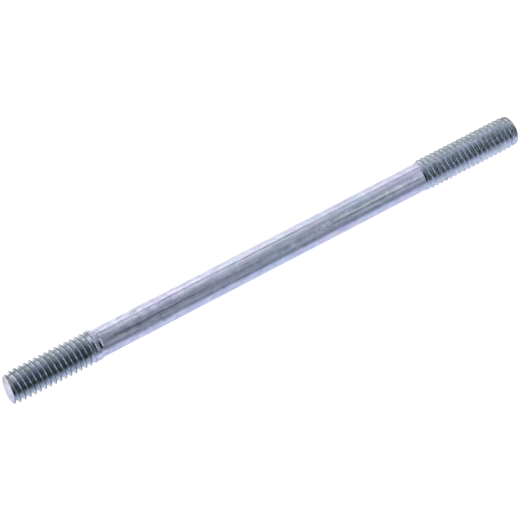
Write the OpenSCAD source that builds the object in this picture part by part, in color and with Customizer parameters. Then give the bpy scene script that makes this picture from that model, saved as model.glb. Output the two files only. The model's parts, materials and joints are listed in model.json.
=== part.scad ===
// Cylinder stud: a plain round rod with a rolled thread at each end. It lies
// along X. The origin is on the axis, at the inner end of the short thread's
// full form, where the stud stops in the crankcase.

/* [Thread] */
// Diameter over the thread crests, the same at both ends
thread_d = 5.8; // [4:0.05:12]
// Distance from one thread crest to the next
pitch = 1; // [0.5:0.05:1.5]

/* [Lengths] */
// Short thread, from its end face to the plain shank
short_thread_len = 17.9; // [10:0.5:60]
// Plain shank between the two threads
shank_len = 67.5; // [10:0.5:240]
// Long thread, from its end face to the plain shank
long_thread_len = 20.5; // [10:0.5:60]

/* [Ends] */
// Leg of the 45 degree chamfer on each end face
end_chamfer = 0.4; // [0.1:0.05:1]
// Turns over which the short thread fades into the shank
short_runout_turns = 1.7; // [1:0.1:3]
// Turns over which the long thread fades into the shank
long_runout_turns = 1.4; // [1:0.1:3]

/* [Hidden] */
$fn = 128;

// Rolling presses the roots into a plain blank and raises the crests above it.
// The shank keeps the blank's diameter.
crest_rise = 0.3 * pitch;

thread_r = thread_d / 2;
shank_r = thread_r - crest_rise;
end_face_r = thread_r - end_chamfer;

// Stations along X
shank_start_x = short_runout_turns * pitch;
short_face_x = shank_start_x - short_thread_len;
shank_end_x = shank_start_x + shank_len;
long_form_x = shank_end_x + long_runout_turns * pitch;
long_face_x = shank_end_x + long_thread_len;

// Half section of the rod as [radius, station along the axis]
rod_profile = [
    [0, short_face_x],
    [end_face_r, short_face_x],
    [thread_r, short_face_x + end_chamfer],
    [thread_r, 0],
    [shank_r, shank_start_x],
    [shank_r, shank_end_x],
    [thread_r, long_form_x],
    [thread_r, long_face_x - end_chamfer],
    [end_face_r, long_face_x],
    [0, long_face_x]
];

// The whole stud, one piece of zinc plated steel. Each thread is the plain
// cylinder over its crests.
module cylinder_stud() {
    color([0.74, 0.75, 0.82])
        rotate([0, 90, 0])
            rotate_extrude() polygon(rod_profile);
}

cylinder_stud();
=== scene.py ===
"""Cylinder stud: a plain zinc plated rod with a rolled thread at each end."""
import json
import math

import bpy
import numpy as np
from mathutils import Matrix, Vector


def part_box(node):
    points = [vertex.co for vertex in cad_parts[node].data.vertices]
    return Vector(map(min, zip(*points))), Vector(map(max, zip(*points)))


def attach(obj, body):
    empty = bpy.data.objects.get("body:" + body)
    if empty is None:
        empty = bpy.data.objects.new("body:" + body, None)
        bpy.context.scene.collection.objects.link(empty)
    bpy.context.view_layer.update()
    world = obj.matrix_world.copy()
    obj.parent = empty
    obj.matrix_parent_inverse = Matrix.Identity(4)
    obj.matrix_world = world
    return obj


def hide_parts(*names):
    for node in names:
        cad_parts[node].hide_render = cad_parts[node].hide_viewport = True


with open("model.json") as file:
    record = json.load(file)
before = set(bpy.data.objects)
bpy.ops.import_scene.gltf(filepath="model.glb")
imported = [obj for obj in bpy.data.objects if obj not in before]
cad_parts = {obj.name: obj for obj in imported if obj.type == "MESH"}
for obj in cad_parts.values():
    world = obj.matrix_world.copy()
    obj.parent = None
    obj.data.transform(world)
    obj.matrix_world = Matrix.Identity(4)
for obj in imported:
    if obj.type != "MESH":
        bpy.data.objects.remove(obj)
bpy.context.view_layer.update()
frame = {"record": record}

bl_info = {
    "name": "Cylinder Stud",
    "version": (1, 0, 0),
    "blender": (4, 5, 0),
    "location": "View3D > Sidebar > Cylinder Stud",
    "description": "Builds a zinc plated cylinder stud with true helical threads, and its studio",
    "category": "Object",
}

NODE = "cylinder_stud"
STUD_LOW, STUD_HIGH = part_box(NODE)
MOUNTS = {mount["name"]: mount for mount in frame["record"]["mounts"]}
MM = 0.001
TURN = 2 * math.pi

# Where each thread's full form ends, and the radius over its crests
SHORT_FORM_X = MOUNTS["crankcase_thread"]["pos_m"][0]
LONG_FORM_X = MOUNTS["nut_thread"]["pos_m"][0]
CREST_R = MOUNTS["nut_thread"]["dims"]["r_mm"] * MM


# ---------------------------------------------------------------- settings


class StudSizes(bpy.types.PropertyGroup):
    """Sizes of the stud that its frame doesn't hold."""

    pitch: bpy.props.FloatProperty(
        name="Pitch", description="Distance from one thread crest to the next",
        default=1.0 * MM, min=0.5 * MM, max=1.5 * MM, unit="LENGTH", precision=5)
    crest_flat: bpy.props.FloatProperty(
        name="Crest flat", description="Width of the crest, as a share of the pitch",
        default=0.11, min=0.02, max=0.3)
    thread_depth: bpy.props.FloatProperty(
        name="Thread depth", description="Depth from crest to root, as a share of the pitch",
        default=0.6134, min=0.4, max=0.7)
    crest_round: bpy.props.FloatProperty(
        name="Crest rounding", description="Softness of the crest's corners, in pitches",
        default=0.18, min=0.01, max=0.3)
    root_round: bpy.props.FloatProperty(
        name="Root rounding", description="Softness of the root's corners, in pitches",
        default=0.1, min=0.01, max=0.2)
    crest_rise: bpy.props.FloatProperty(
        name="Crest rise", description="Height of the crests above the shank, in pitches",
        default=0.3, min=0.1, max=0.4)
    collar_rise: bpy.props.FloatProperty(
        name="Collar rise", description="Height of the smooth collar beside the short thread",
        default=0.19 * MM, min=0.0, max=0.4 * MM, unit="LENGTH", precision=5)
    end_taper: bpy.props.FloatProperty(
        name="End taper", description="How far the crests fall below full size at an end face",
        default=0.32 * MM, min=0.0, max=0.6 * MM, unit="LENGTH", precision=5)
    rim_r: bpy.props.FloatProperty(
        name="Rim radius", description="Radius of the flat end faces",
        default=2.48 * MM, min=1 * MM, max=5 * MM, unit="LENGTH", precision=5)
    short_clock: bpy.props.FloatProperty(
        name="Short thread clocking", description="Turn of the short thread about the axis",
        default=math.radians(-160.0), subtype="ANGLE", unit="ROTATION")
    long_clock: bpy.props.FloatProperty(
        name="Long thread clocking", description="Turn of the long thread about the axis",
        default=math.radians(-96.0), subtype="ANGLE", unit="ROTATION")
    face_tilt: bpy.props.FloatProperty(
        name="Face tilt", description="How far the short thread's end is cut out of square",
        default=math.radians(6.4), min=0.0, max=0.3, subtype="ANGLE", unit="ROTATION")
    face_tilt_turn: bpy.props.FloatProperty(
        name="Face tilt direction", description="Turn about the axis of the end face's short side",
        default=math.radians(57.5), subtype="ANGLE", unit="ROTATION")
    dent_count: bpy.props.IntProperty(
        name="Handling marks", description="Small dents on the thread crests",
        default=60, min=0, max=200)
    segments: bpy.props.IntProperty(
        name="Segments", description="Faces around the rod", default=96, min=32, max=128)


class ZincFinish(bpy.types.PropertyGroup):
    """Colours and roughness of the zinc plate."""

    plate: bpy.props.FloatVectorProperty(
        name="Plate", description="Colour of the bright zinc", subtype="COLOR",
        default=(0.76, 0.77, 0.92), min=0.0, max=1.0)
    violet: bpy.props.FloatVectorProperty(
        name="Violet plate", description="Where the clear passivation looks violet",
        subtype="COLOR", default=(0.78, 0.76, 0.96), min=0.0, max=1.0)
    cool: bpy.props.FloatVectorProperty(
        name="Cool plate", description="Where the clear passivation looks blue",
        subtype="COLOR", default=(0.71, 0.78, 0.93), min=0.0, max=1.0)
    thread: bpy.props.FloatVectorProperty(
        name="Thread flanks", description="Colour of the thread's flanks",
        subtype="COLOR", default=(0.79, 0.84, 0.93), min=0.0, max=1.0)
    crest: bpy.props.FloatVectorProperty(
        name="Thread crests", description="Duller plate on the thread's crests",
        subtype="COLOR", default=(0.50, 0.54, 0.60), min=0.0, max=1.0)
    # The valley colour is painted shade in the thread roots, laid over darker plate
    valley_shade: bpy.props.FloatVectorProperty(
        name="Thread valley", description="Darker plate and oil in the thread's roots",
        subtype="COLOR", default=(0.23, 0.28, 0.32), min=0.0, max=1.0)
    olive: bpy.props.FloatVectorProperty(
        name="Olive tint", description="Faint yellow passivation stains on the threads",
        subtype="COLOR", default=(0.62, 0.64, 0.48), min=0.0, max=1.0)
    roughness: bpy.props.FloatProperty(
        name="Roughness", description="Roughness of the clean plate", default=0.14,
        min=0.0, max=1.0)


class StudioSettings(bpy.types.PropertyGroup):
    """Place and lens of the camera."""

    azimuth: bpy.props.FloatProperty(
        name="Azimuth", description="Camera's turn about the vertical, 0 looking along +Y",
        default=math.radians(-32.74), subtype="ANGLE", unit="ROTATION")
    elevation: bpy.props.FloatProperty(
        name="Elevation", description="Camera's height above the horizon",
        default=math.radians(53.65), subtype="ANGLE", unit="ROTATION")
    distance: bpy.props.FloatProperty(
        name="Distance", description="From the camera to the point it looks at",
        default=0.4484, min=0.1, unit="LENGTH")
    lens: bpy.props.FloatProperty(
        name="Focal length", description="Focal length of the lens in millimetres",
        default=175.6, min=20.0)
    aim_x: bpy.props.FloatProperty(
        name="Aim along the stud", description="Point looked at, from the short thread's end",
        default=35.06 * MM, unit="LENGTH", precision=5)
    aim_z: bpy.props.FloatProperty(
        name="Aim height", description="Height of the point looked at above the axis",
        default=-0.19 * MM, unit="LENGTH", precision=5)


# ---------------------------------------------------------------- surface

# Places are rounded to this before the points that meet there become one
WELD = 1e-5 * MM

# Short run-out, in pitches past the full form: the crest's fall to the collar, the steep step
# down from it with its share of the collar's height, and the shallow foot that has the rest
COLLAR_FALL = (0.2, 0.7)
COLLAR_STEP = (1.14, 1.68)
STEP_SHARE = 0.84
COLLAR_FOOT = (1.7, 1.92)
# Going back from the collar, the filled grooves fall by a shallow slope and then a steep one
GROOVE_SLOPE = (0.5, -0.2)
SLOPE_HEIGHT = 0.08 * MM
GROOVE_DROP = (-0.2, -0.9)
DROP_HEIGHT = 0.4 * MM
# Where the last groove is closed, and the steepness of its end a pitch
GROOVE_END = 1.05
CLOSING = 3.0 * MM
# Where the plate turns plain
SHORT_PLAIN = (-0.5, 0.55)
# Behind the stud the run-out starts later: the turn about the axis where it is latest, by how
# much, and the cosines of the angle from there between which this comes in
LATE_TURN = math.radians(30.0)
LATE_BY = 0.8
LATE_SPREAD = (0.1, 0.85)

# Long run-out, in pitches before the full form: the shallow cone with its share of the crests'
# height, the steep step that has the rest, and where the grooves and their plate turn plain
LONG_CONE = (0.15, 1.12)
CONE_SHARE = 0.6
LONG_STEP = (1.12, 1.38)
LONG_PLAIN = (0.55, 1.1)

# Edge between each thread's grid and the shank's rings, and those rings, closest at the steps'
# corners, all in pitches from the thread's full form. Then the number of rings between them
GRID_EDGE = 1.1
SHORT_RINGS = np.array([1.12, 1.14, 1.16, 1.4, 1.66, 1.68, 1.7, 1.72, 1.8, 1.88, 1.9, 1.92,
                        2.0, 2.1])
LONG_RINGS = np.array([1.5, 1.41, 1.39, 1.37, 1.35, 1.25, 1.15, 1.13, 1.11])
SHANK_RINGS = 40
# Rings of an end face, as shares of its radius
FACE_RINGS = np.array([1.0, 0.985, 0.95, 0.85, 0.65, 0.4, 0.2, 0.0])
# Turns of thread laid out past each end of a grid, before it is clipped
SPARE_TURNS = 2

# Where the long thread's last turn fades, in pitches from its end face, and the length over
# which the taper at both end faces dies away
LAST_TURN = (0.5, 1.5)
TAPER_LENGTH = 0.6 * MM

# Handling marks: seed of their places, share of them on the short thread, and the least and
# most of their radius and depth in millimetres
DENT_SEED = 7
DENTS_ON_SHORT = 0.45
DENT_SPREAD = (0.15, 0.45)
DENT_DEPTH = (0.01, 0.05)


def linear_step(value, start, stop):
    """0 before start and 1 after stop, on a straight line between them."""
    return np.clip((value - start) / (stop - start), 0.0, 1.0)


def smooth_step(value, start, stop):
    """0 before start and 1 after stop, by 3 t^2 - 2 t^3 between them."""
    share = linear_step(value, start, stop)
    return share * share * (3 - 2 * share)


def smooth_max(a, b, blend):
    """The larger of a and b with its corner rounded: (a + b + sqrt((a - b)^2 + blend^2)) / 2."""
    return 0.5 * (a + b + np.sqrt((a - b) ** 2 + blend ** 2))


def thread_depth(phase, sizes):
    """Depth below the crest in pitches: a 60 degree vee between rounded crest and root.

    The straight flank is sqrt(3) times the distance from the crest's edge. Smooth maxima keep
    it above 0 and below the full depth, and the depth at the crest's centre is taken off.
    """
    def depth(away):
        flank = math.sqrt(3) * (away - sizes.crest_flat / 2)
        lowered = smooth_max(flank, 0.0, sizes.crest_round)
        return sizes.thread_depth - smooth_max(sizes.thread_depth - lowered, 0.0,
                                               sizes.root_round)

    return depth(np.abs((phase + 0.5) % 1.0 - 0.5)) - depth(np.array(0.0))


def thread_phases():
    """Rows across one pitch, as shares of it from crest to crest, closest at the corners."""
    half = np.array([0.0, 0.035, 0.07, 0.105, 0.15, 0.21, 0.28, 0.35, 0.4, 0.45])
    return np.concatenate([half, [0.5], 1 - half[:0:-1]])


def short_runout(sizes, x, angle):
    """Crest radius, least radius and plainness where the short thread fades, towards +X.

    The grooves fill up to a shallow slope that rises to a smooth collar. The collar ends in a
    steep step and a shallow foot that runs down to the shank. Behind the stud the crest, the
    grooves and their dull plate run on further: there the fades are measured from a later
    place, and the grooves close on a straight slope just before the step.
    """
    past = (x - SHORT_FORM_X) / sizes.pitch
    held = past - LATE_BY * smooth_step(np.cos(angle - LATE_TURN), *LATE_SPREAD)
    fall = sizes.crest_rise * sizes.pitch - sizes.collar_rise
    collar = CREST_R - fall * smooth_step(held, *COLLAR_FALL)
    step = STEP_SHARE * linear_step(past, *COLLAR_STEP)
    foot = (1 - STEP_SHARE) * linear_step(past, *COLLAR_FOOT)
    radius = collar - sizes.collar_rise * (step + foot)
    below = (SLOPE_HEIGHT * linear_step(held, *GROOVE_SLOPE)
             + DROP_HEIGHT * linear_step(held, *GROOVE_DROP))
    filled = np.where(held > GROOVE_SLOPE[0], radius,
                      np.where(held < GROOVE_DROP[1], 0.0, CREST_R - fall - below))
    closing = radius - CLOSING * np.maximum(GROOVE_END - past, 0.0)
    return radius, np.maximum(filled, closing), linear_step(held, *SHORT_PLAIN)


def long_runout(sizes, x, angle):
    """Crest radius, least radius and plainness where the long thread fades, towards -X.

    The shank ends in a steep step, and a shallow cone with the first shallow turns rises from
    it to the full crest. It is the same at every angle.
    """
    past = (LONG_FORM_X - x) / sizes.pitch
    cone = CONE_SHARE * linear_step(past, *LONG_CONE)
    step = (1 - CONE_SHARE) * linear_step(past, *LONG_STEP)
    radius = CREST_R - sizes.crest_rise * sizes.pitch * (cone + step)
    plain = linear_step(past, *LONG_PLAIN)
    return radius, radius - sizes.thread_depth * sizes.pitch * (1 - plain), plain


def near_face(sizes, angle):
    """X where the short thread's end face meets its rim: a plane a little out of square.

    It is the stud's end plus tan(tilt) times the rim's radius times 1 + cos(angle from the
    tilt's direction).
    """
    reach = math.tan(sizes.face_tilt) * sizes.rim_r
    return STUD_LOW[0] + reach * (1 + np.cos(angle - sizes.face_tilt_turn))


def far_face(sizes, angle):
    """X where the long thread's end face meets its rim, square to the axis."""
    return np.full_like(angle, STUD_HIGH[0])


def crest_dents(sizes, x, angle):
    """Depth of small round handling marks, each a bell shape at a seeded random place.

    A mark's depth is its greatest depth times e to the minus (distance / its radius) squared.
    """
    random = np.random.default_rng(DENT_SEED)
    count = sizes.dent_count
    on_short = random.random(count) < DENTS_ON_SHORT
    place = random.random(count)
    centre_x = np.where(on_short, STUD_LOW[0] + place * (SHORT_FORM_X - STUD_LOW[0]),
                        LONG_FORM_X + place * (STUD_HIGH[0] - LONG_FORM_X))
    centre_angle = random.uniform(0, TURN, count)
    spread = random.uniform(*DENT_SPREAD, count) * MM
    depth = random.uniform(*DENT_DEPTH, count) * MM
    dented = np.zeros(x.shape)
    for middle_x, middle_angle, size, deep in zip(centre_x, centre_angle, spread, depth):
        around = CREST_R * np.sin((angle - middle_angle) / 2) * 2
        dented += deep * np.exp(-((x - middle_x) ** 2 + around ** 2) / size ** 2)
    return dented


def threaded_radius(sizes, x, angle, clock, runout, from_face, whole):
    """Radius of a thread, and its depth as a share of the full depth.

    It is the crest radius less the end taper, which dies away exponentially from the face,
    and less the thread's depth, but not below the run-out's least radius. Unless the thread
    is whole at its face, its last turn fades there. A 45 degree bevel cuts the rim.
    """
    crest, least, _ = runout(sizes, x, angle)
    strength = 1.0 if whole else linear_step(from_face / sizes.pitch, *LAST_TURN)
    phase = (x - SHORT_FORM_X) / sizes.pitch - (angle - clock) / TURN
    deep = np.minimum(thread_depth(phase, sizes) * strength * sizes.pitch, crest - least)
    taper = sizes.end_taper * np.exp(-from_face / TAPER_LENGTH)
    radius = crest - taper - deep - crest_dents(sizes, x, angle)
    share = deep / (sizes.thread_depth * sizes.pitch)
    return np.minimum(radius, sizes.rim_r + from_face), share


def tube_points(x, radius, angle):
    """Points at x along the axis, radius from it and angle about it from +Y towards +Z."""
    return np.stack([x, radius * np.cos(angle), radius * np.sin(angle)], axis=-1)


def thread_grid(sizes, face, edge, clock, runout, near):
    """Points, groove depth and dullness on a grid over one thread.

    Its rows follow the helix and are clipped to the end face and the edge. Row k at angle a
    lies at pitch * (k + (a - clock) / turn) from the short thread's form end.
    """
    angle = np.linspace(0.0, TURN, sizes.segments + 1)
    rim_x = face(sizes, angle)
    low = np.minimum(rim_x, edge)
    high = np.maximum(rim_x, edge)
    first = math.floor((low.min() - SHORT_FORM_X) / sizes.pitch) - SPARE_TURNS
    last = math.ceil((high.max() - SHORT_FORM_X) / sizes.pitch) + SPARE_TURNS
    rows = np.concatenate([thread_phases() + k for k in range(first, last)])
    helix = rows[:, None] + (angle[None, :] - clock) / TURN
    x = np.clip(SHORT_FORM_X + sizes.pitch * helix, low[None, :], high[None, :])
    angles = np.broadcast_to(angle[None, :], x.shape)
    from_face = x - rim_x[None, :] if near else rim_x[None, :] - x
    radius, deep = threaded_radius(sizes, x, angles, clock, runout, from_face, near)
    return tube_points(x, radius, angles), deep, 1 - runout(sizes, x, angles)[2]


def shank_grid(sizes, start, stop):
    """Points and dullness on rings over the collar, the steps and the shank."""
    angle = np.linspace(0.0, TURN, sizes.segments + 1)
    near = SHORT_FORM_X + sizes.pitch * SHORT_RINGS
    far = LONG_FORM_X - sizes.pitch * LONG_RINGS
    plain = np.linspace(near[-1], far[0], SHANK_RINGS + 2)[1:-1]
    stations = np.concatenate([[start], near, plain, far, [stop]])
    x = np.broadcast_to(stations[:, None], (len(stations), len(angle)))
    angles = np.broadcast_to(angle[None, :], x.shape)
    short_radius, _, short_plain = short_runout(sizes, x, angles)
    long_radius, _, long_plain = long_runout(sizes, x, angles)
    middle = 0.5 * (SHORT_FORM_X + LONG_FORM_X)
    radius = np.where(x < middle, short_radius, long_radius)
    return tube_points(x, radius, angles), 1 - np.minimum(short_plain, long_plain)


def face_grid(rim, inward):
    """Rings from an end face's rim to its centre, on straight lines, or the other way round."""
    centre = rim[:-1].mean(axis=0)
    centre[1:] = 0.0
    points = centre + FACE_RINGS[:, None, None] * (rim[None] - centre)
    return points if inward else points[::-1]


def grid_quads(rows, columns):
    """Corner numbers of the quads of a rows by columns grid."""
    corner = (np.arange(rows - 1)[:, None] * columns + np.arange(columns - 1)[None, :]).ravel()
    return np.stack([corner, corner + 1, corner + columns + 1, corner + columns], axis=1)


def merged_mesh(name, grids):
    """One closed mesh of several grids: coincident points joined, flattened faces dropped.

    Each grid is its points and a dictionary of named values at those points.
    """
    points = np.concatenate([grid.reshape(-1, 3) for grid, _ in grids])
    starts = np.cumsum([0] + [grid[..., 0].size for grid, _ in grids[:-1]])
    quads = np.concatenate([grid_quads(*grid.shape[:2]) + start
                            for (grid, _), start in zip(grids, starts)])
    _, first, where = np.unique(np.round(points / WELD).astype(np.int64), axis=0,
                                return_index=True, return_inverse=True)
    quads = where.reshape(-1)[quads]
    kept = np.roll(quads, -1, axis=1) != quads
    whole = kept.sum(axis=1) >= 3
    corners = quads[whole][kept[whole]]
    corner_counts = kept[whole].sum(axis=1)
    loop_starts = np.cumsum(corner_counts) - corner_counts
    mesh = bpy.data.meshes.new(name)
    mesh.vertices.add(len(first))
    mesh.vertices.foreach_set("co", points[first].astype(np.float32).ravel())
    mesh.loops.add(len(corners))
    mesh.loops.foreach_set("vertex_index", corners.astype(np.int32))
    mesh.polygons.add(len(corner_counts))
    mesh.polygons.foreach_set("loop_start", loop_starts.astype(np.int32))
    mesh.polygons.foreach_set("use_smooth", np.ones(len(corner_counts), bool))
    mesh.update(calc_edges=True)
    for key in grids[0][1]:
        values = np.concatenate([marks[key].ravel() for _, marks in grids])
        layer = mesh.attributes.new(key, "FLOAT", "POINT")
        layer.data.foreach_set("value", values[first].astype(np.float32))
    mesh.validate()
    return mesh


def stud_mesh(sizes):
    """The whole stud as one closed surface: two threads, the shank between and two end faces.

    Its points carry the depth of the groove, how far the plate is a thread's, and 1 on the end
    faces.
    """
    start = SHORT_FORM_X + GRID_EDGE * sizes.pitch
    stop = LONG_FORM_X - GRID_EDGE * sizes.pitch
    short, short_groove, short_dull = thread_grid(sizes, near_face, start, sizes.short_clock,
                                                  short_runout, True)
    long, long_groove, long_dull = thread_grid(sizes, far_face, stop, sizes.long_clock,
                                               long_runout, False)
    shank, shank_dull = shank_grid(sizes, start, stop)
    near_cap = face_grid(short[0], False)
    far_cap = face_grid(long[-1], True)
    grids = []
    for points, groove, thread, face in ((near_cap, 0.0, 1.0, 1.0),
                                         (short, short_groove, short_dull, 0.0),
                                         (shank, 0.0, shank_dull, 0.0),
                                         (long, long_groove, long_dull, 0.0),
                                         (far_cap, 0.0, 1.0, 1.0)):
        marks = {"groove": groove, "thread": thread, "face": face}
        grids.append((points, {key: np.broadcast_to(value, points.shape[:2])
                               for key, value in marks.items()}))
    return merged_mesh(NODE + "_surface", grids)


# ---------------------------------------------------------------- node helpers


def add_node(tree, kind, inputs, **settings):
    """Add a node, set its properties, and give each socket a value or a link."""
    node = tree.nodes.new(kind)
    for key, value in settings.items():
        setattr(node, key, value)
    for key, value in inputs.items():
        if isinstance(value, bpy.types.NodeSocket):
            tree.links.new(value, node.inputs[key])
        else:
            node.inputs[key].default_value = value
    return node


def maths(tree, operation, *values):
    """Result of a Math node."""
    return add_node(tree, "ShaderNodeMath", dict(enumerate(values)),
                    operation=operation).outputs[0]


def chained(tree, operation, values):
    """Math nodes in a row, each joining one more value to the result so far."""
    result, *rest = values
    for value in rest:
        result = maths(tree, operation, result, value)
    return result


def product(tree, *values):
    """All the values multiplied together."""
    return chained(tree, "MULTIPLY", values)


def total(tree, *values):
    """Sum of all the values."""
    return chained(tree, "ADD", values)


def without(tree, value):
    """1 less the value."""
    return maths(tree, "SUBTRACT", 1.0, value)


def remap(tree, value, low, high, out_low=0.0, out_high=1.0, smooth=True):
    """Value moved from low..high to out_low..out_high, and held at the ends."""
    return add_node(tree, "ShaderNodeMapRange",
                    {"Value": value, "From Min": low, "From Max": high, "To Min": out_low,
                     "To Max": out_high},
                    interpolation_type="SMOOTHSTEP" if smooth else "LINEAR").outputs[0]


def blend_colour(tree, factor, below, above, mode="MIX"):
    """Colour above laid over colour below. A colour mix uses sockets 0, 6 and 7, and output 2."""
    colours = [value if isinstance(value, bpy.types.NodeSocket) else (*tuple(value)[:3], 1.0)
               for value in (below, above)]
    return add_node(tree, "ShaderNodeMix", {0: factor, 6: colours[0], 7: colours[1]},
                    data_type="RGBA", blend_type=mode).outputs[2]


def shaded(tree, colour, level):
    """Colour multiplied by a level."""
    return blend_colour(tree, 1.0, colour, level, "MULTIPLY")


def noise(tree, vector, scale, detail, roughness, stretch=(1.0, 1.0, 1.0)):
    """Noise on a vector in millimetres, scale cells a millimetre, stretched along the axes."""
    moved = add_node(tree, "ShaderNodeVectorMath", {0: vector, 1: stretch}, operation="MULTIPLY")
    return add_node(tree, "ShaderNodeTexNoise",
                    {"Vector": moved.outputs[0], "Scale": scale, "Detail": detail,
                     "Roughness": roughness}).outputs[0]


# Values that most of a noise lies between, and a narrower pair
SPREAD = (0.3, 0.7)
MIDDLE = (0.35, 0.65)


def vary(tree, value, low, high, spread=SPREAD):
    """Level that follows a noise over its spread, from low to high, and is held past it."""
    return remap(tree, value, *spread, low, high, False)


def ramp(tree, value, stops):
    """Colour ramp through (place, colour) stops."""
    node = add_node(tree, "ShaderNodeValToRGB", {0: value})
    elements = node.color_ramp.elements
    while len(elements) > 1:
        elements.remove(elements[-1])
    elements[0].position = stops[0][0]
    elements[0].color = (*stops[0][1], 1.0)
    for place, colour in stops[1:]:
        elements.new(place).color = (*colour, 1.0)
    return node.outputs[0]


def new_material(name):
    """A material, its node tree and its shader."""
    material = bpy.data.materials.new(name)
    material.use_nodes = True
    return material, material.node_tree, material.node_tree.nodes["Principled BSDF"]


def place_in_mm(tree):
    """Place on the object in millimetres, as a vector and as its X, Y and Z."""
    place = tree.nodes.new("ShaderNodeTexCoord").outputs["Object"]
    place = add_node(tree, "ShaderNodeVectorMath", {0: place, "Scale": 1 / MM},
                     operation="SCALE").outputs[0]
    return place, *add_node(tree, "ShaderNodeSeparateXYZ", {0: place}).outputs


# ---------------------------------------------------------------- materials

# Noises in the plate: cells a millimetre, detail, roughness, and stretch along the axes
NOISES = {
    "fine": (2.6, 5.0, 0.7, (0.04, 1.0, 1.0)),
    "broad": (1.1, 3.0, 0.55, (0.025, 1.0, 1.0)),
    "patches": (0.6, 5.0, 0.68),
    "hues": (0.22, 2.0, 0.5, (0.6, 1.0, 1.0)),
    "scuffs": (1.4, 4.0, 0.65, (0.45, 1.0, 1.0)),
    "waves": (0.7, 2.0, 0.5, (0.5, 1.0, 1.0)),
    "grain": (4.0, 3.0, 0.6),
    "blotches": (1.3, 2.0, 0.5),
    "casts": (0.5, 2.0, 0.5),
    "stains": (0.7, 3.0, 0.5)}
# Least and most of the levels that they give to the colour
LEVELS = {
    "fine": (0.84, 1.16),
    "broad": (0.92, 1.08),
    "patches": (0.87, 1.11),
    "scuffs": (-0.12, 0.1),
    "grain": (0.8, 1.14),
    "blotches": (0.82, 1.1)}
# Values of a noise over which the plate turns violet and then blue, and how far it does
SHANK_TINTS = ((0.42, 0.62), (0.45, 0.3), 1.0)
THREAD_TINTS = ((0.55, 0.7), (0.45, 0.3), 0.6)
# Values over which the olive stains come in, and how strong they are
STAINS = (0.54, 0.72)
STAIN_STRENGTH = 0.7

# Radius of the shank, and the painted reflection lines along it, dark and bright: turn about the
# axis in degrees, start and stop along it and half width in millimetres, and strength, negative
# for a painted highlight line
SHANK_R = CREST_R - 0.3 * MM
REFLECTION_LINES = ((125.5, 2.0, 25.0, 0.30, 0.44), (130.2, 48.0, 73.0, 0.22, 0.45),
              (120.8, 49.0, 70.5, 0.28, -0.38), (107.0, 44.0, 69.5, 0.35, 0.16),
              (108.0, 2.0, 28.0, 0.60, 0.16), (142.0, 2.0, 28.0, 0.50, -0.10),
              (104.0, 2.0, 30.0, 0.12, -0.12), (138.0, 12.0, 40.0, 0.12, 0.12),
              (112.0, 30.0, 52.0, 0.14, 0.12))
# Millimetres over which a line comes in and goes out, and radians by which it wanders
LINE_BEGIN = 2.5
LINE_END = 6.0
LINE_WANDER = 0.04

# Depths of the groove, as shares of the full one, over which the dull crest gives way to the
# flank, and the flank to the painted shade in the root
CREST_EDGE = (0.05, 0.24)
ROOT_EDGE = (0.5, 0.88)

# Stretch of the stud over which one thread's finish gives way to the other's, in millimetres
ALONG = (0.0, 70.0)
# How the finish and the painted light change from place to place. Each row has an axis, the two
# places on it in millimetres between which a level changes, and the two levels. The rows of a
# name are multiplied together
FADES = {
    "scuffs": (("x", 8.0, 30.0, 2.3, 1.0),),
    "cool_flank": (("x", *ALONG, 0.0, 0.3),),
    # Painted light on the crests: darker on the short thread, with a painted highlight towards the
    # long one
    "crest": (("x", *ALONG, 0.58, 1.65),),
    # Painted highlight on the short thread's back crests, then painted shade on the long thread's
    # back crests
    "crest_highlight": (("y", 0.3, 1.5, 0.0, 0.8), ("x", *ALONG, 1.0, 0.0)),
    "crest_shade": (("y", -0.6, 0.4, 0.0, 0.5), ("x", *ALONG, 0.0, 1.0)),
    # Painted shade in the thread roots, stronger in front and on top
    "root_shading": (("x", *ALONG, 1.0, 0.5), ("y", 0.0, -2.0, 0.62, 1.0),
               ("z", 0.2, 1.2, 0.4, 1.0)),
    "pitted": (("x", *ALONG, 0.55, 0.25),),
    "relief": (("x", 66.0, 72.0, 0.25, 0.08),)}
# Bands of painted light on the threads in the same form: painted shade above 0 and painted
# highlight below it
PAINTED_LIGHT_BANDS = {
    "low": (("z", 1.95, 1.3, 0.0, 0.13), ("z", 0.0, 0.9, 0.0, 1.0)),
    "front": (("y", -0.6, -1.3, 0.0, 1.0), ("z", 1.6, 2.1, 0.0, 1.0),
              ("x", 10.0, 30.0, 0.14, 0.0)),
    "back": (("y", 0.8, 1.4, 0.0, 0.28), ("x", 40.0, 75.0, -0.2, 1.0)),
    "first_turn": (("x", -14.2, -14.8, 0.0, 1.0), ("y", -1.7, -0.5, 0.0, -0.35)),
    "last_turn": (("x", -0.6, 0.0, 0.0, 1.0), ("x", 1.1, 0.6, 0.0, 1.0),
                  ("y", 0.0, 1.2, 0.0, 0.3))}

# Painted shade spot on the back upper part of the near end face: its middle, and how far from it
# in millimetres the painted shade is full and gone, with its level
FACE_SHADE_SPOT = (STUD_LOW[0] / MM, 2.0, 0.9)
SHADE_SPOT_EDGES = (0.4, 2.0)
SHADE_SPOT_LEVEL = 0.6

# Least and most that the patches and the fine streaks add to the roughness, with the values
# over which the patches do, and what the full depth of a groove adds
PATCH_ROUGHNESS = (-0.05, 0.08)
PATCH_SPREAD = (0.35, 0.7)
STREAK_ROUGHNESS = (-0.03, 0.03)
GROOVE_ROUGHNESS = 0.04
# Heights of the waves and scuffs against the grain's, and of all the relief together
WAVE_HEIGHT = 2.0
SCUFF_HEIGHT = 0.6
RELIEF_HEIGHT = 0.02 * MM


def fade(tree, places, rows):
    """Product of the levels in the rows of one name, at a place given by its axes."""
    return product(tree, *(remap(tree, places[axis], *row) for axis, *row in rows))


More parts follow.
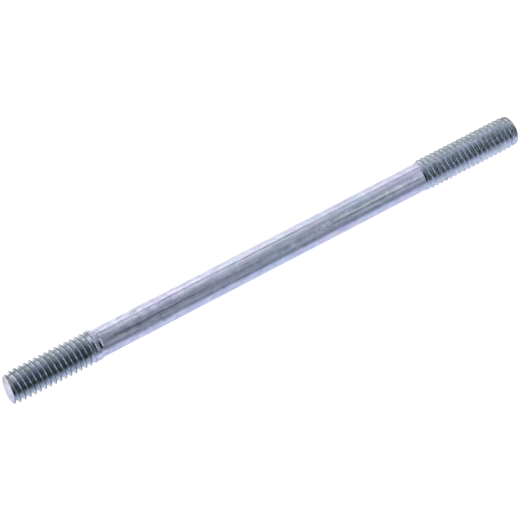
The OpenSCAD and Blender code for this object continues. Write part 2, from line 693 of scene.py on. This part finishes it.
def reflection_lines(tree, x, around):
    """Sum of the painted reflection lines along the shank, above 0 where painted dark and below 0
    where painted bright.

    A line fades with the distance round the shank from its middle, and at both its ends.
    """
    lines = []
    for turn, start, stop, half_width, strength in REFLECTION_LINES:
        away = maths(tree, "ABSOLUTE", maths(tree, "SUBTRACT", around, math.radians(turn)))
        line = remap(tree, away, 0.0, half_width * MM / SHANK_R, strength, 0.0)
        begin = remap(tree, x, start, start + LINE_BEGIN)
        end = remap(tree, x, stop - LINE_END, stop, 1.0, 0.0)
        lines.append(product(tree, line, begin, end))
    return total(tree, *lines)


def tinted(tree, finish, colour, hue, violet_over, cool_over, most):
    """Colour with violet laid over it where a noise is high, and blue where it is low."""
    violet = remap(tree, hue, *violet_over, 0.0, most)
    cool = remap(tree, hue, *cool_over, 0.0, most)
    colour = blend_colour(tree, violet, colour, finish.violet)
    return blend_colour(tree, cool, colour, finish.cool)


def shank_plate(tree, finish, noises, mottle, places):
    """Colour of the drawn shank: tints, streaks along the axis, mottle and painted reflection
    lines.
    """
    clean = tinted(tree, finish, finish.plate, noises["hues"], *SHANK_TINTS)
    streaks = vary(tree, noises["fine"], *LEVELS["fine"])
    wide = vary(tree, noises["broad"], *LEVELS["broad"])
    around = maths(tree, "ARCTAN2", places["z"], places["y"])
    wander = vary(tree, noises["waves"], -LINE_WANDER, LINE_WANDER, (0.0, 1.0))
    # Painted dark and bright reflection lines along the shank
    lines = reflection_lines(tree, places["x"], total(tree, around, wander))
    return shaded(tree, clean, product(tree, streaks, wide, mottle, without(tree, lines)))


def thread_plate(tree, finish, noises, groove, places):
    """Colour of the rolled threads, from crest to root.

    The crests are duller than the flanks, most of all on the short thread, and carry painted
    highlights and painted shade by side and along the stud. The roots carry painted shade over
    darker plate. Grain, blotches, faint olive stains and bands of painted shade and painted
    highlight lie over them.
    """
    cooler = fade(tree, places, FADES["cool_flank"])
    flank = blend_colour(tree, cooler, finish.thread, finish.cool)
    flank = tinted(tree, finish, flank, noises["casts"], *THREAD_TINTS)
    # Painted highlight and painted shade on the crests, by side and along the stud
    crest_light = total(tree, 1.0, fade(tree, places, FADES["crest_highlight"]))
    crest_light = maths(tree, "SUBTRACT", crest_light, fade(tree, places, FADES["crest_shade"]))
    crest_light = product(tree, crest_light, fade(tree, places, FADES["crest"]))
    crest = shaded(tree, finish.crest, crest_light)
    colour = blend_colour(tree, remap(tree, groove, *CREST_EDGE), crest, flank)
    # Painted shade in the thread roots, over darker plate
    root_shading = product(tree, remap(tree, groove, *ROOT_EDGE), fade(tree, places, FADES["root_shading"]))
    colour = blend_colour(tree, root_shading, colour, finish.valley_shade)
    stained = remap(tree, noises["stains"], *STAINS, 0.0, STAIN_STRENGTH)
    colour = blend_colour(tree, stained, colour, finish.olive, "MULTIPLY")
    grain = vary(tree, noises["grain"], *LEVELS["grain"])
    blotches = vary(tree, noises["blotches"], *LEVELS["blotches"], MIDDLE)
    # Bands of painted shade and painted highlight by height, side and place along the stud
    painted_light_bands = total(tree, *(fade(tree, places, rows) for rows in PAINTED_LIGHT_BANDS.values()))
    return shaded(tree, colour, product(tree, grain, blotches, without(tree, painted_light_bands)))


def face_plate(tree, finish, mottle, place):
    """Colour of the end faces: clean violet plate, with one painted shade spot on the near face.
    """
    away = add_node(tree, "ShaderNodeVectorMath", {0: place, 1: FACE_SHADE_SPOT},
                    operation="DISTANCE").outputs["Value"]
    # Painted shade on the near face's back upper part
    shade_spot = remap(tree, away, *SHADE_SPOT_EDGES, SHADE_SPOT_LEVEL, 1.0)
    return shaded(tree, finish.violet, product(tree, mottle, shade_spot))


def zinc_plate(finish):
    """Bright zinc on drawn and rolled steel: the shank's, the threads' and the end faces'.

    Its roughness follows the patches, the fine streaks and the grooves. Its relief has the
    streaks on the shank, pits on the threads, and waves and scuffs everywhere.
    """
    material, tree, shader = new_material("zinc_plated_steel")
    place, *axes = place_in_mm(tree)
    places = dict(zip("xyz", axes))
    groove, thread, face = (
        add_node(tree, "ShaderNodeAttribute", {}, attribute_name=name).outputs["Fac"]
        for name in ("groove", "thread", "face"))
    noises = {name: noise(tree, place, *settings) for name, settings in NOISES.items()}

    scuffed = product(tree, vary(tree, noises["scuffs"], *LEVELS["scuffs"], MIDDLE),
                      fade(tree, places, FADES["scuffs"]))
    mottle = product(tree, vary(tree, noises["patches"], *LEVELS["patches"]),
                     total(tree, scuffed, 1.0))
    shank_colour = shank_plate(tree, finish, noises, mottle, places)
    thread_colour = thread_plate(tree, finish, noises, groove, places)
    end_colour = blend_colour(tree, face, thread_colour, face_plate(tree, finish, mottle, place))
    colour = blend_colour(tree, thread, shank_colour, end_colour)
    tree.links.new(colour, shader.inputs["Base Color"])

    rough = total(tree, finish.roughness,
                  vary(tree, noises["patches"], *PATCH_ROUGHNESS, PATCH_SPREAD),
                  vary(tree, noises["fine"], *STREAK_ROUGHNESS),
                  product(tree, groove, GROOVE_ROUGHNESS))
    tree.links.new(rough, shader.inputs["Roughness"])
    shader.inputs["Metallic"].default_value = 1.0

    streaks = product(tree, noises["fine"], without(tree, thread))
    pits = product(tree, noises["grain"], thread, fade(tree, places, FADES["pitted"]))
    relief = total(tree, streaks, pits, product(tree, noises["waves"], WAVE_HEIGHT),
                   product(tree, noises["scuffs"], SCUFF_HEIGHT))
    bump = add_node(tree, "ShaderNodeBump",
                    {"Strength": fade(tree, places, FADES["relief"]), "Distance": RELIEF_HEIGHT,
                     "Height": relief})
    tree.links.new(bump.outputs[0], shader.inputs["Normal"])
    return material


# Painted reflection glow of the floor: what the metal sees of it, from a reach in front of the
# stud
# (0) to one behind it (1), with the reach in millimetres
FLOOR_REACH = 50.0
FLOOR_REFLECTION_GLOW = ((0.22, (0.24, 0.27, 0.32)), (0.32, (0.28, 0.32, 0.39)),
              (0.375, (0.45, 0.50, 0.61)), (0.42, (0.57, 0.61, 0.75)),
              (0.46, (0.65, 0.69, 0.81)), (0.5, (0.71, 0.75, 0.84)),
              (0.56, (0.95, 0.96, 0.96)))
# Painted shade on that glow, in the form of the finish's fades: past the near end, behind each
# thread, and a patch just past the far end
FLOOR_PAINTED_SHADE = {
    "near_end": (("x", -17.5, -23.0, 0.0, 0.75),),
    "near_back": (("x", -2.0, -9.0, 0.0, 0.4), ("y", 6.0, 12.0, 0.0, 1.0)),
    "far_back": (("x", 88.0, 98.0, 0.0, 0.75), ("y", 6.0, 12.0, 0.0, 1.0)),
    "far_end": (("x", 92.0, 98.0, 0.0, 0.9), ("x", 125.0, 110.0, 0.0, 1.0),
                ("y", -6.0, -2.0, 0.0, 1.0), ("y", 18.0, 14.0, 0.0, 1.0))}
# Grey of the floor, which takes the shadow, and the white that it gives off
FLOOR_GREY = 0.35
FLOOR_WHITE = 0.94
FLOOR_HALF_SIDE = 3.0


def pale_floor():
    """Pale floor that keeps a soft shadow; reflections show a painted glow with painted shade
    patches.
    """
    material, tree, shader = new_material("floor")
    shader.inputs["Base Color"].default_value = (FLOOR_GREY, FLOOR_GREY, FLOOR_GREY, 1.0)
    shader.inputs["Roughness"].default_value = 1.0
    shader.inputs["Specular IOR Level"].default_value = 0.0
    shader.inputs["Emission Color"].default_value = (1.0, 1.0, 1.0, 1.0)
    shader.inputs["Emission Strength"].default_value = FLOOR_WHITE
    _, x, y, _ = place_in_mm(tree)
    glow = ramp(tree, remap(tree, y, -FLOOR_REACH, FLOOR_REACH, smooth=False), FLOOR_REFLECTION_GLOW)
    dark = chained(tree, "MAXIMUM", [fade(tree, {"x": x, "y": y}, rows)
                                     for rows in FLOOR_PAINTED_SHADE.values()])
    # Painted shade patches on the reflection glow
    glow = shaded(tree, glow, without(tree, dark))
    emission = add_node(tree, "ShaderNodeEmission", {"Color": glow})
    paths = tree.nodes.new("ShaderNodeLightPath").outputs
    mirrored = maths(tree, "MAXIMUM", paths["Is Glossy Ray"], paths["Is Transmission Ray"])
    mix = add_node(tree, "ShaderNodeMixShader", {0: mirrored, 1: shader.outputs[0],
                                                 2: emission.outputs[0]})
    tree.links.new(mix.outputs[0], tree.nodes["Material Output"].inputs["Surface"])
    return material


# What the metal sees going round the stud's axis, in degrees from level in front (0) over the
# top to level behind (180)
ROOM_AROUND = ((-180, (0.97, 0.97, 1.0)), (0, (0.22, 0.25, 0.30)), (6, (0.30, 0.34, 0.39)),
               (18, (0.34, 0.38, 0.42)), (38, (0.28, 0.31, 0.34)), (52, (0.27, 0.30, 0.33)),
               (66, (0.35, 0.38, 0.42)), (84, (0.43, 0.47, 0.52)), (100, (0.53, 0.57, 0.63)),
               (108, (0.61, 0.65, 0.71)), (116, (0.71, 0.74, 0.82)), (128, (0.80, 0.82, 0.89)),
               (138, (0.90, 0.91, 0.97)), (146, (0.98, 0.99, 1.0)), (180, (0.97, 0.97, 1.0)))
# The same room from the short thread's side (-1) to the long one's (1), as a share of that: in
# front, and then overhead and behind
FRONT_ALONG = ((-1.0, 0.28), (-0.75, 0.4), (-0.6, 0.36), (-0.48, 0.12), (-0.4, 0.05),
               (-0.25, 0.05), (-0.1, 0.12), (0.0, 0.22), (0.12, 0.3), (0.2, 0.62), (0.26, 0.9),
               (0.31, 1.0), (0.41, 1.0), (0.46, 0.45), (0.56, 0.3), (0.61, 0.24), (0.66, 0.06),
               (0.7, 0.02), (1.0, 0.02))
BACK_ALONG = ((-1.0, 0.5), (-0.6, 0.6), (-0.35, 0.7), (-0.1, 0.92), (0.1, 1.0), (0.38, 1.0),
              (0.43, 0.85), (0.5, 0.75), (0.8, 0.65), (1.0, 0.65))
# Degrees over which the back gives way to the front, and how that edge leans along X: at 0 it
# lies this many degrees nearer to the front, and at 1 as many nearer to the back
FRONT_EDGE = (118, 72)
LEAN = 35
LEAN_ALONG = ((-1.0, 0.3), (-0.1, 0.3), (0.08, 0.5), (0.36, 0.95), (0.52, 0.95), (0.66, 0.0),
              (1.0, 0.0))
# Narrow dark strip overhead: its middle in degrees, how far from it the strip is gone and full,
# and its strength along X
STRIP_MIDDLE = 129
STRIP_EDGES = (11, 4)
STRIP_ALONG = ((0.02, 0.0), (0.12, 0.42), (0.45, 0.42), (0.55, 0.0))
# Soft upright panel in front, towards the long thread: its colour, the degrees over which its
# lower and upper edge fade, and its strength along X
PANEL_COLOUR = (1.5, 1.62, 1.76)
PANEL_LOW = (10, 32)
PANEL_HIGH = (98, 72)
PANEL_ALONG = ((0.405, 0.0), (0.43, 1.0), (0.47, 1.0), (0.5, 0.19), (0.54, 0.16), (0.58, 0.2),
               (0.63, 0.17), (0.68, 0.0))


def room_light():
    """World light worked out from the direction alone, white where the camera sees it."""
    world = bpy.data.worlds.new("studio")
    world.use_nodes = True
    tree = world.node_tree
    tree.nodes.clear()
    direction = tree.nodes.new("ShaderNodeTexCoord").outputs["Generated"]
    x, y, z = add_node(tree, "ShaderNodeSeparateXYZ", {0: direction}).outputs
    turn = maths(tree, "DEGREES", maths(tree, "ARCTAN2", z, product(tree, y, -1.0)))
    around = remap(tree, turn, -180, 180, smooth=False)
    colour = ramp(tree, around, [((degrees + 180) / 360, rgb) for degrees, rgb in ROOM_AROUND])
    along = remap(tree, x, -1.0, 1.0, smooth=False)
    front, back, lean, strip, panel = (
        ramp(tree, along, [((place + 1) / 2, (level,) * 3) for place, level in stops])
        for stops in (FRONT_ALONG, BACK_ALONG, LEAN_ALONG, STRIP_ALONG, PANEL_ALONG))

    lean = remap(tree, lean, 0.0, 1.0, -LEAN, LEAN, False)
    in_front = remap(tree, maths(tree, "SUBTRACT", turn, lean), *FRONT_EDGE)
    lit = shaded(tree, colour, blend_colour(tree, in_front, back, front))
    off_strip = maths(tree, "ABSOLUTE", maths(tree, "SUBTRACT", turn, STRIP_MIDDLE))
    strip = product(tree, strip, remap(tree, off_strip, *STRIP_EDGES))
    lit = shaded(tree, lit, without(tree, strip))
    panel = product(tree, panel, remap(tree, turn, *PANEL_LOW), remap(tree, turn, *PANEL_HIGH))
    lit = blend_colour(tree, panel, lit, PANEL_COLOUR)

    paths = tree.nodes.new("ShaderNodeLightPath").outputs
    seen = maths(tree, "MAXIMUM", paths["Is Camera Ray"], paths["Is Transmission Ray"])
    lit = blend_colour(tree, seen, lit, (1.0, 1.0, 1.0))
    background = add_node(tree, "ShaderNodeBackground", {"Color": lit})
    add_node(tree, "ShaderNodeOutputWorld", {"Surface": background.outputs[0]})
    return world


# ---------------------------------------------------------------- operators


class OBJECT_OT_cylinder_stud(bpy.types.Operator):
    """Build the stud's surface and its plate"""

    bl_idname = "object.cylinder_stud"
    bl_label = "Cylinder Stud"

    def execute(self, context):
        """Make the threaded surface in place of the plain node."""
        scene = context.scene
        mesh = stud_mesh(scene.stud_sizes)
        mesh.materials.append(zinc_plate(scene.zinc_finish))
        stud = bpy.data.objects.new("threaded_stud", mesh)
        scene.collection.objects.link(stud)
        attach(stud, "root")
        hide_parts(NODE)
        return {"FINISHED"}


class OBJECT_OT_stud_studio(bpy.types.Operator):
    """Build the floor, the light and the camera"""

    bl_idname = "object.stud_studio"
    bl_label = "Studio"

    def execute(self, context):
        """Make the stage around the stud."""
        scene = context.scene
        studio = scene.studio_settings
        back = np.array([math.sin(studio.azimuth) * math.cos(studio.elevation),
                         -math.cos(studio.azimuth) * math.cos(studio.elevation),
                         math.sin(studio.elevation)])
        camera_data = bpy.data.cameras.new("camera")
        camera_data.lens = studio.lens
        camera_data.clip_start = 10 * MM
        camera = bpy.data.objects.new("camera", camera_data)
        camera.location = np.array([studio.aim_x, 0.0, studio.aim_z]) + back * studio.distance
        camera.rotation_euler = (math.pi / 2 - studio.elevation, 0.0, studio.azimuth)
        scene.collection.objects.link(camera)
        scene.camera = camera

        scene.world = room_light()

        floor_mesh = bpy.data.meshes.new("floor")
        half = FLOOR_HALF_SIDE
        corners = [(-half, -half), (half, -half), (half, half), (-half, half)]
        floor_mesh.from_pydata([(*corner, STUD_LOW[2]) for corner in corners], [],
                               [(0, 1, 2, 3)])
        floor_mesh.materials.append(pale_floor())
        floor = bpy.data.objects.new("floor", floor_mesh)
        scene.collection.objects.link(floor)
        return {"FINISHED"}


class VIEW3D_PT_cylinder_stud(bpy.types.Panel):
    """Sizes, finish and studio of the cylinder stud"""

    bl_idname = "VIEW3D_PT_cylinder_stud"
    bl_label = "Cylinder Stud"
    bl_space_type = "VIEW_3D"
    bl_region_type = "UI"
    bl_category = "Cylinder Stud"

    def draw(self, context):
        """List the settings above the buttons that use them."""
        scene = context.scene
        for settings, operator in ((scene.stud_sizes, OBJECT_OT_cylinder_stud),
                                   (scene.zinc_finish, None),
                                   (scene.studio_settings, OBJECT_OT_stud_studio)):
            box = self.layout.box()
            for key in settings.__annotations__:
                box.prop(settings, key)
            if operator:
                box.operator(operator.bl_idname)


CLASSES = (StudSizes, ZincFinish, StudioSettings, OBJECT_OT_cylinder_stud,
           OBJECT_OT_stud_studio, VIEW3D_PT_cylinder_stud)


def register():
    """Add the classes and the settings."""
    for cls in CLASSES:
        bpy.utils.register_class(cls)
    bpy.types.Scene.stud_sizes = bpy.props.PointerProperty(type=StudSizes)
    bpy.types.Scene.zinc_finish = bpy.props.PointerProperty(type=ZincFinish)
    bpy.types.Scene.studio_settings = bpy.props.PointerProperty(type=StudioSettings)


def unregister():
    """Take the settings and the classes away."""
    del bpy.types.Scene.studio_settings
    del bpy.types.Scene.zinc_finish
    del bpy.types.Scene.stud_sizes
    for cls in reversed(CLASSES):
        bpy.utils.unregister_class(cls)


def main():
    """Build everything."""
    register()
    bpy.context.scene.view_settings.view_transform = "Standard"
    bpy.ops.object.cylinder_stud()
    bpy.ops.object.stud_studio()


if __name__ == "__main__":
    main()
